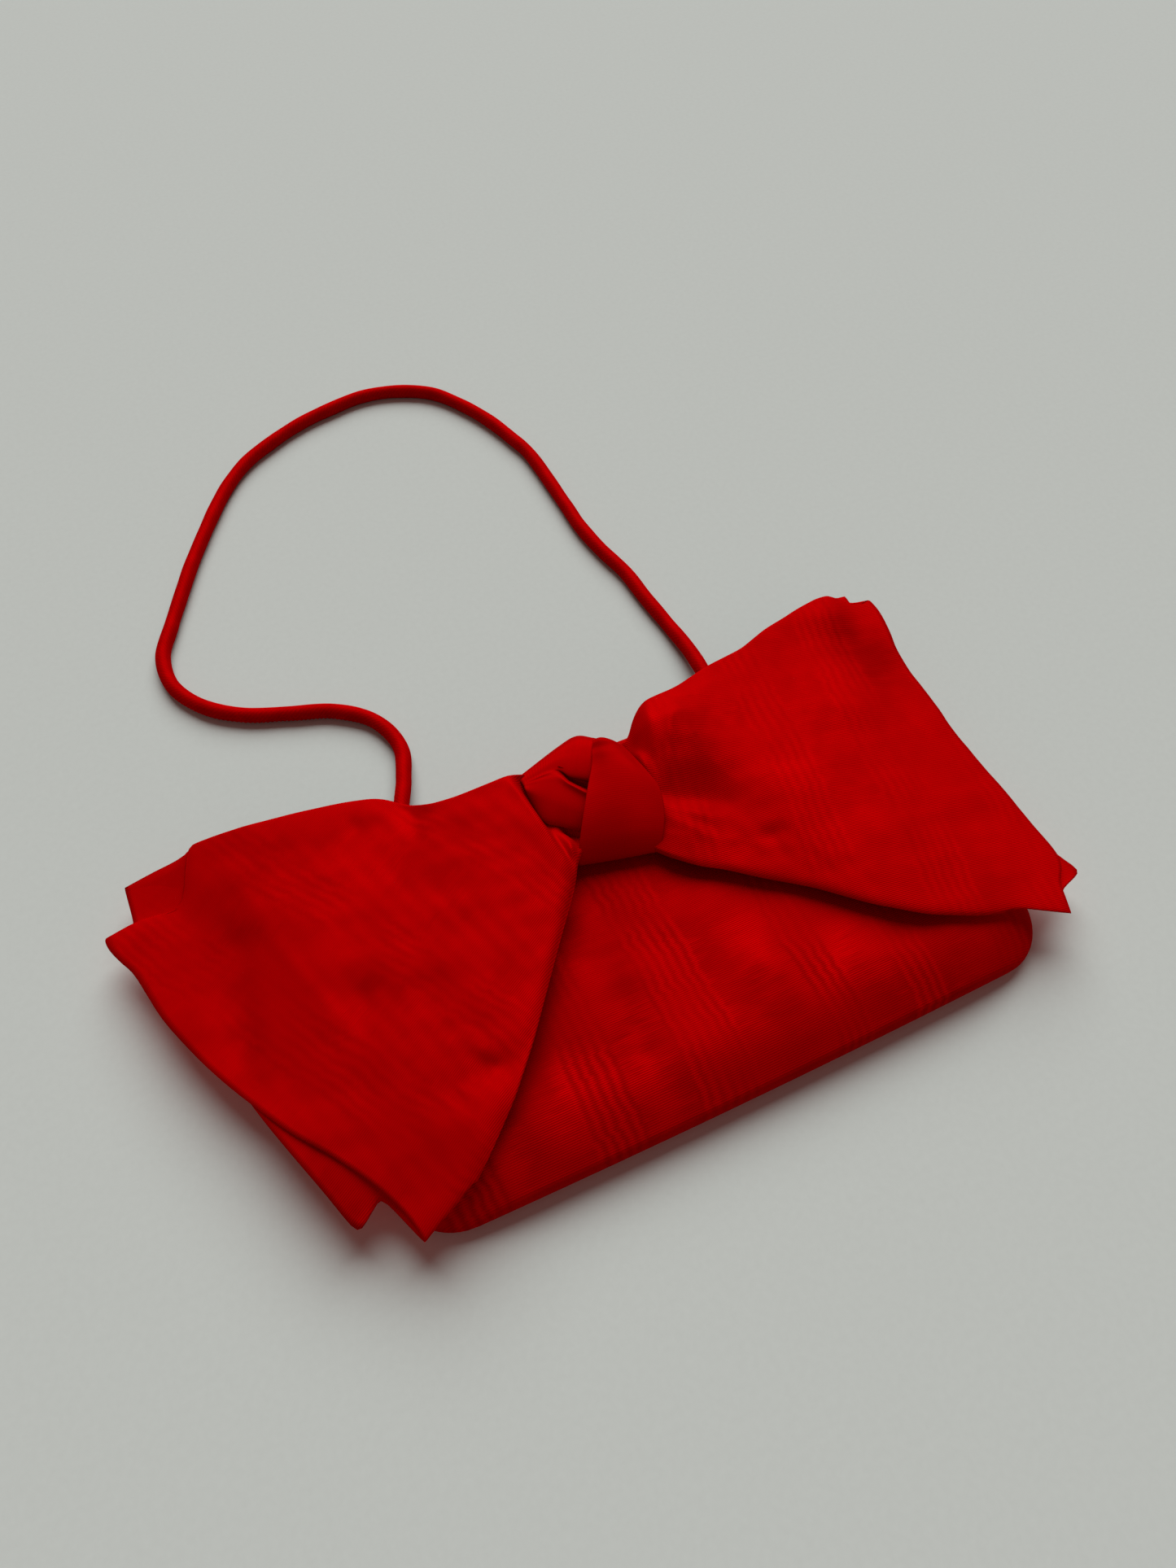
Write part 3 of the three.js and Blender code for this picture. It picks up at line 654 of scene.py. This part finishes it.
def wing_layer(wing, t, w, front):
    """Points of a wing's front or back layer, at stations t and shares w up from its foot."""
    foot = trace(wing["bottom"], t)
    head = trace(wing["top"], t)
    plan_foot = foot[:, :2].copy()
    plan_head = head[:, :2].copy()
    if front:
        slip = trace([(0, 0, 0, 0)] + wing["front_top"], t, 2)
        plan_head += slip[:, :2]
        head[:, 2] += slip[:, 2]
    else:
        plan_foot += trace([(0, 0, 0)] + wing["back_bottom"], t, 3)
    plan = plan_foot[:, None] + (plan_head - plan_foot)[:, None] * w[None, :, None]
    edge = measured(wing["front_end" if front else "back_end"], w)
    shift = edge - plan[-1]
    plan = plan + ease(t, 0.72, 1)[:, None, None] * shift[None]
    x, y = plan[..., 0], plan[..., 1]
    t_grid, w_grid = np.meshgrid(t, w, indexing="ij")
    open_out = ease(t_grid, 0.14, 0.24)
    if front:
        inner = trace([(at, *levels) for at, levels in wing["heights"]], t, 2)
        rows = np.concatenate([foot[:, 2:] + fold_gap / 2, inner, head[:, 2:] + fold_gap / 2], 1)
        spot = np.interp(w, [0, 0.15, 0.4, 0.65, 0.87, 1], np.linspace(0, 1, 6))
        z = np.stack([through(row[:, None], spot)[:, 0] for row in rows])
        for line, levels, left, right, power in wing["folds"]:
            z = z + fold(x, y, line, levels, left, right, power)
        run = w_grid * np.linalg.norm(plan_head - plan_foot, axis=1)[:, None]
        z = z - wing["roll"] * (1 - quarter_round(run / roll_run)) * open_out
        loose = ease(np.minimum(w_grid, 1 - w_grid), 0, 0.1) * open_out
        soft = 0.4 * ripple(x, y, 44, 11) + 0.2 * ripple(x, y, 19, 12) + 0.07 * ripple(x, y, 8, 15)
        z = z + loose * soft
    else:
        dip = waist_dip * (1 - ease(t_grid, 0.20, 0.34)) * np.sin(math.pi * w_grid)
        z = foot[:, 2:] + (head[:, 2:] - foot[:, 2:]) * w[None] - fold_gap / 2 - dip
        droop = ease(t_grid, 0.78, 1) * np.interp(w, *np.transpose(wing["droop"]))
        z = z - droop + 0.3 * ripple(x, y, 50, 13) * open_out * (1 - ease(t_grid, 0.7, 0.9))
        z = z + trace([(0, 0)] + wing["lip"], t, 2) * ease(w_grid, 0.7, 0.92)
    return np.stack([x, y, z], -1)


def wing_rings(wing, stations):
    """Closed rings of points round a wing, from its waist to its open end."""
    t = np.linspace(0, 1, stations)
    front_w = np.linspace(0, 1, 112)
    front = wing_layer(wing, t, front_w + 0.1 * (0.5 - 0.5 * np.cos(math.pi * front_w) - front_w), True)
    back = wing_layer(wing, t, np.linspace(0, 1, 44), False)
    under = wing_layer(wing, t, front_w, False)[..., 2] + 1.1
    closed = t < 0.88
    front[closed, :, 2] = np.maximum(front[closed, :, 2], under[closed])
    tucks = []
    for guide, slip, edge in (("bottom", "bottom_tuck", 0), ("top", "top_tuck", -1)):
        knots = wing[slip]
        plan = trace(wing[guide], t)[:, :2] + trace([(0, *knots[0][1:])] + knots, t, 2)
        level = (front[:, edge, 2] + back[:, edge, 2]) / 2
        tucks.append(np.concatenate([plan, level[:, None]], 1)[:, None])
    going = np.linspace(0, 1, 7)[1:, None]
    coming = np.linspace(0, 1, 7)[1:-1, None]
    foot, head = front[:, :1], front[:, -1:]
    rings = np.concatenate([
        front[:, ::-1],
        foot + (tucks[0] - foot) * going,
        tucks[0] + (back[:, :1] - tucks[0]) * coming,
        back,
        back[:, -1:] + (tucks[1] - back[:, -1:]) * going,
        tucks[1] + (head - tucks[1]) * coming,
    ], 1)
    for _ in range(2):
        rings = (np.roll(rings, 1, 1) + 2 * rings + np.roll(rings, -1, 1)) / 4
    return rings


wing_stations = 140
left_rings = wing_rings(left_wing, wing_stations)[::-1]
right_rings = wing_rings(right_wing, wing_stations)[1:]
bow_rings = np.concatenate([left_rings, right_rings])
bow_rings = np.concatenate([bow_rings, bow_rings[:, :1]], 1)


def lay_bow(along, around):
    last = np.array(bow_rings.shape[:2]) - 1
    row = np.rint(along * last[0]).astype(int)
    column = np.rint(around * last[1]).astype(int)
    points = bow_rings[row, column]
    grain = np.where(row < wing_stations, left_wing["grain"], right_wing["grain"])
    u = points[:, 0] * np.cos(grain) + points[:, 1] * np.sin(grain)
    v = points[:, 1] * np.cos(grain) - points[:, 0] * np.sin(grain)
    return points, np.stack([u, v], 1)


bow_bands = [
    (-0.075, 0.011), (-0.036, 0.009), (0.010, 0.007), (0.050, 0.009), (0.087, 0.010), (0.120, 0.006),
]
bow_silk = watered_silk("red watered silk, bow", bow_bands, 0.20, 0.10, 0.97)
bow_mesh = cloth("bow", bow_rings.shape[0] - 1, bow_rings.shape[1] - 1, lay_bow)
# Painted shade in folds, creases, hollows and under the front layer's edge, and painted highlights on the
# ridges and rolls of the wings.
painted_light_and_moire(bow_mesh, [
    (-120, 132, 20, 11, -0.5), (-90, 132, 12, 10, -0.5), (-72, 100, 10, 7, -0.5),
    (-46, 92, 14, 12, 0.4), (-141, 88, 6, 24, -0.7), (-145, 122, 9, 12, -0.4), (-134, 25, 5, 8, -1.2),
    (-130, 14, 6, 7, -1.4), (-103, 76, 7, 6, -0.7), (-92, 68, 8, 7, -0.5), (-80, 60, 8, 7, -0.5),
    (-68, 52, 8, 7, -0.5), (39, 109, 6, 5, -0.8), (24, 123, 5, 6, 1.2), (33, 68, 12, 4, 0.8),
    (-104, 42, 12, 10, 0.6), (-57, 58, 7, 9, -0.5), (126, 131, 11, 16, -1.5), (122, 120, 9, 9, -0.6),
    (95, 146, 18, 9, -0.4), (76, 77, 9, 12, 0.8), (60, 87, 10, 8, 0.5), (112, 52, 16, 16, 0.4),
    (33, 87, 12, 4, -0.5), (31, 72, 11, 5, 0.5), (92, 19, 22, 6, -0.5),
])
bow = sew_in(bow_mesh, bow_silk, "red_faille", "bow_tube", thick=0.0005)

# The knot
# A doubled strip of the same silk drawn round the waist of the bow and over itself. The under
# wrap shows at the left with one pleat in it; the smooth top band crosses it and hides its end.
knot_wall = 0.0014
wrap_long, wrap_wide = 62.0, 36.0
band_long, band_wide = 84.0, 26.0
wrap_guides = [
    [(-22.9, 120.3, 25), (-21.6, 111.3, 25), (-16.9, 106.5, 25), (-11.8, 101.5, 25), (-8, 98.5, 25)],
    [(-25.4, 117.5, 27.5), (-24.1, 107.8, 27), (-19.3, 103.4, 26.5), (-13.3, 98.7, 26), (-9.4, 95.5, 26)],
    [(-25.8, 117.2, 30.5), (-24.1, 107.4, 30), (-19.3, 103, 29.5), (-13.2, 98.5, 28.6), (-9.1, 95.6, 28.2)],
    [(-26.1, 118.7, 33.2), (-21, 112.1, 33), (-16.4, 107, 32.6), (-10.9, 102, 31.6), (-7.4, 98.7, 31.2)],
    [(-25.9, 120.8, 33.5), (-16.9, 117.8, 34.6), (-12.7, 112.1, 34.4), (-8.9, 107, 33.6), (-5.4, 103.1, 33)],
    [(-25.9, 121.5, 33.5), (-14.7, 119.5, 35), (-11.3, 113.6, 35.4), (-7.8, 108.7, 35), (-4.6, 105, 34.4)],
    [(-25.9, 121.7, 33.5), (-14, 120.6, 34.9), (-9.6, 116.8, 31.6), (-6.2, 113, 30.4), (-3.4, 109.6, 30)],
    [(-25.9, 122, 33.5), (-13.7, 121.2, 34.9), (-9, 118.6, 31.8), (-5.2, 115.6, 30.8), (-2.2, 112.4, 30.4)],
    [(-25.9, 122.3, 33.5), (-13.6, 121.9, 35), (-9.6, 117.6, 34.4), (-5.6, 114.6, 34.2), (-1.6, 111.8, 34)],
    [(-26.3, 123.7, 33.4), (-11.6, 125.4, 35.6), (-5.2, 124, 36.2), (0.2, 120.9, 36.4), (3.9, 118, 36.2)],
    [(-26.7, 125.3, 32.6), (-9.3, 129.6, 34.8), (-1.2, 130.6, 35.6), (3.9, 127.4, 35.8), (6.9, 125, 35.6)],
    [(-25.7, 128, 28), (-7.3, 134.2, 28.5), (1.1, 135.6, 29), (6.3, 132.4, 29), (9.2, 129.8, 29)],
    [(-24.2, 126.7, 26), (-6.7, 133.2, 26), (0.9, 134.4, 26), (5.8, 131.4, 26), (8.7, 128.6, 26)],
]
band_guides = [
    [(1, 124, 25.5), (5, 122, 25.5), (9, 120, 25.5), (13, 118, 25.5)],
    [(5, 131.6, 27), (8, 130.4, 27), (11.5, 128.6, 27), (15, 126, 27)],
    [(3.6, 125.9, 37.4), (6.3, 125.5, 38), (9.1, 123.9, 37.4), (12.5, 121.4, 35.4)],
    [(1.3, 122.2, 37.4), (5.4, 120.8, 38.6), (9.2, 119.2, 38.4), (13.7, 115.5, 36)],
    [(-1.6, 116.3, 37.6), (4.1, 113.8, 39.2), (10.3, 110.5, 38.8), (15.4, 105.9, 36.2)],
    [(-7.6, 107.4, 36.8), (1.1, 105.3, 38), (9.9, 102.4, 37.4), (16.5, 98.8, 34.8)],
    [(-13.2, 99.1, 34), (-3.1, 96.8, 35), (7.5, 94.4, 34.4), (14.8, 91.6, 32.2)],
    [(-17.1, 93.2, 30), (-6.6, 90.2, 30.6), (4.2, 87.5, 30.2), (11.3, 85.2, 28.6)],
    [(-19.4, 89.3, 24.4), (-9.7, 86.9, 24.6), (0.3, 84.2, 24.4), (8.5, 81.9, 23.8)],
    [(-19, 89.4, 21.6), (-10, 87, 21.4), (-0.6, 84.8, 21.4), (7.1, 83.2, 21.8)],
    [(-16, 93, 22), (-9, 91, 22), (-2, 89, 22), (5, 88, 22)],
]


def loft(guides, along, across):
    """Points on a smooth skin over guides, each a row of points across it."""
    guides = np.asarray(guides, float)
    rows = np.stack([through(guides[:, column], along) for column in range(guides.shape[1])], 1)
    spot = across * (guides.shape[1] - 1)
    index = np.minimum(spot.astype(int), guides.shape[1] - 2)
    pick = np.arange(len(along))
    line = np.concatenate([2 * rows[:, :1] - rows[:, 1:2], rows, 2 * rows[:, -1:] - rows[:, -2:-1]], 1)
    return smooth_between(*(line[pick, index + step] for step in range(4)), (spot - index)[:, None])


def lay_wrap(across, along):
    return loft(wrap_guides, along, across), np.stack([along * wrap_long, across * wrap_wide], 1)


def lay_band(across, along):
    return loft(band_guides, along, across), np.stack([across * band_wide, along * band_long], 1)


# The knot's copy of the silk is set darker than the bow's: painted shade.
knot_silk = watered_silk("red watered silk, knot", [(0.120, 0.006)], 0.15, 0.05, 0.88, 0.03)
wrap_mesh = cloth("knot_under_wrap_cloth", 70, 130, lay_wrap)
wrap = sew_in(wrap_mesh, knot_silk, "red_faille", "knot_under_wrap", thick=knot_wall)
band_mesh = cloth("knot_band_cloth", 60, 130, lay_band)
# Painted shade on the band's top and a painted highlight low on the band.
painted_light_and_moire(band_mesh, [(2, 117, 7, 8, -1.2), (7, 93, 7, 8, 0.9)])
band = sew_in(band_mesh, knot_silk, "red_faille", "knot_band", thick=knot_wall)

# The table and the light
# A wide pale table top under one broad soft light from behind and to the right. The room looks pale
# grey. Its own light, and what a near wall throws back, is dim and red, for the photo's red shadows.
floor_paint, floor_tree, floor_shader = new_material("pale grey table")
floor_place = add(floor_tree, "ShaderNodeTexCoord", {}).outputs["Object"]
floor_grain = add(floor_tree, "ShaderNodeTexNoise", {"Vector": floor_place, "Scale": 420.0, "Detail": 4.0})
floor_tones = (0.500, 0.572, 0.543), (0.536, 0.614, 0.583)
two_tone(floor_tree, floor_shader, floor_grain.outputs["Fac"], *floor_tones)
set_plain(floor_shader, {"Roughness": 0.9, "Specular IOR Level": 0.15})
floor_bm = bmesh.new()
bmesh.ops.create_grid(floor_bm, x_segments=2, y_segments=2, size=3.0)
floor_mesh = bpy.data.meshes.new("table_top")
floor_bm.to_mesh(floor_mesh)
floor_bm.free()
floor_mesh.materials.append(floor_paint)
floor = bpy.data.objects.new("table_top", floor_mesh)
bpy.context.scene.collection.objects.link(floor)

room = bpy.data.worlds.new("even room")
bpy.context.scene.world = room
room.use_nodes = True
room_rays = add(room.node_tree, "ShaderNodeLightPath", {}).outputs
room_seen = room_rays["Is Camera Ray"]
for ray in ("Is Glossy Ray", "Is Transmission Ray"):
    both = {0: room_seen, 1: room_rays[ray]}
    room_seen = add(room.node_tree, "ShaderNodeMath", both, operation="ADD").outputs["Value"]
room_mix = add(room.node_tree, "ShaderNodeMix", {"Factor": room_seen}, data_type="RGBA")
room_mix.inputs["A"].default_value = (0.155, 0.076, 0.070, 1)
room_mix.inputs["B"].default_value = (0.40, 0.41, 0.385, 1)
room.node_tree.links.new(room_mix.outputs["Result"], room.node_tree.nodes["Background"].inputs["Color"])


def shine(name, energy, degrees, towards, colour=(1.0, 1.0, 1.0)):
    """A broad far light that is degrees wide and lies towards a direction."""
    light = bpy.data.lights.new(name, "SUN")
    light.energy = energy
    light.angle = math.radians(degrees)
    light.color = colour
    lamp = bpy.data.objects.new(name, light)
    lamp.rotation_euler = (-Vector(towards)).to_track_quat("-Z", "Y").to_euler()
    bpy.context.scene.collection.objects.link(lamp)


shine("soft box", 3.3, 57, (0.42, 0.92, 1.0))
shine("near wall", 0.24, 70, (-0.1, -1.0, 0.42), (1.0, 0.5, 0.45))

# The camera
# Handheld over the bag's lower left, pitched 55 degrees down, with a wide phone lens.
lens = bpy.data.cameras.new("camera")
lens.lens = 26.0
lens.sensor_width = 34.6
lens.clip_start = 0.01
camera = bpy.data.objects.new("camera", lens)
camera.location = to_row((-107.4, -103.6, 374.0))
camera.rotation_euler = (math.radians(35.0), 0, math.radians(-25.4))
bpy.context.scene.collection.objects.link(camera)
bpy.context.scene.camera = camera
bpy.context.scene.view_settings.view_transform = "Standard"

bpy.context.view_layer.update()
